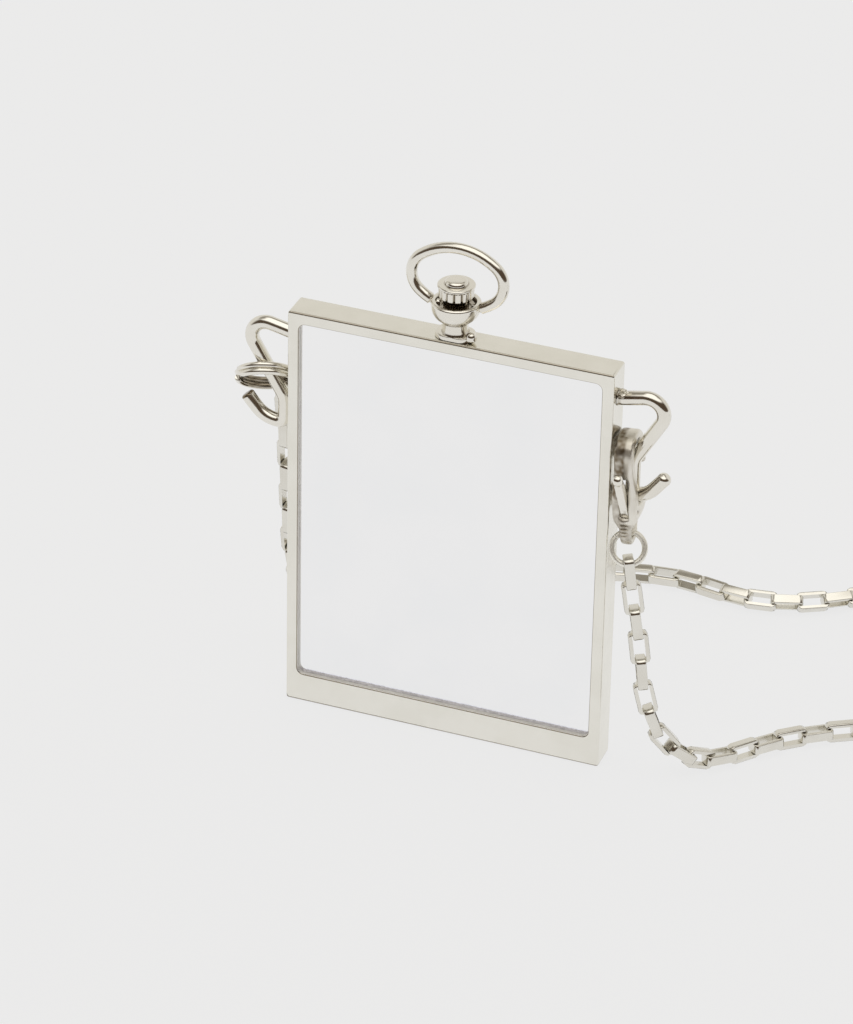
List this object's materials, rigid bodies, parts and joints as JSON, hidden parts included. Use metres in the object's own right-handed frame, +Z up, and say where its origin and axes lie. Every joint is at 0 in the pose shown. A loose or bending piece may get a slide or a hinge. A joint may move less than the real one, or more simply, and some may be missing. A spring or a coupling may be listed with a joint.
{
  "type": "mirror pendant",
  "caption": "Flat rectangular metal pendant with a recessed mirror, a watch crown and bow on top, bent wire side hooks and a long box chain closed by a lobster clasp.",
  "frame": {"origin": "centre of the case's flat bottom face, which the pendant stands on", "axes": "+X to the right of someone who looks at the mirror, +Y away from them, +Z up"},
  "size_m": [0.2833, 0.0751, 0.0609],
  "materials": {
    "satin_metal": "satin silver-tone plating",
    "bright_metal": "bright silver-tone plating",
    "chain_metal": "soft bright silver-tone plating",
    "mirror_glass": "clear polished mirror"
  },
  "bodies": {
    "root": {"case": "satin_metal", "mirror": "mirror_glass", "neck": "bright_metal", "crown": "bright_metal", "hook_left": "bright_metal", "hook_right": "bright_metal", "split_ring": "bright_metal", "clasp_body": "bright_metal", "clasp_pin": "bright_metal", "jump_ring": "bright_metal", "chain_front": "chain_metal", "chain_back": "chain_metal"},
    "bow": {"bow": "bright_metal"},
    "clasp_lever": {"clasp_lever": "bright_metal"}
  },
  "joints": [
    {"name": "bow_hinge", "type": "hinge", "parent": "root", "child": "bow", "pos_m": [0, 0, 0.0537], "axis": [1, 0, 0], "range_deg": [-84.5, 95.5]},
    {"name": "lever_hinge", "type": "hinge", "parent": "root", "child": "clasp_lever", "pos_m": [0.02059, -0.00126, 0.03354], "axis": [0.9964, 0.0522, 0.0663], "range_deg": [0, 6], "stiffness_Nm_per_rad": 0.0005, "springref_deg": -5.73}
  ]
}
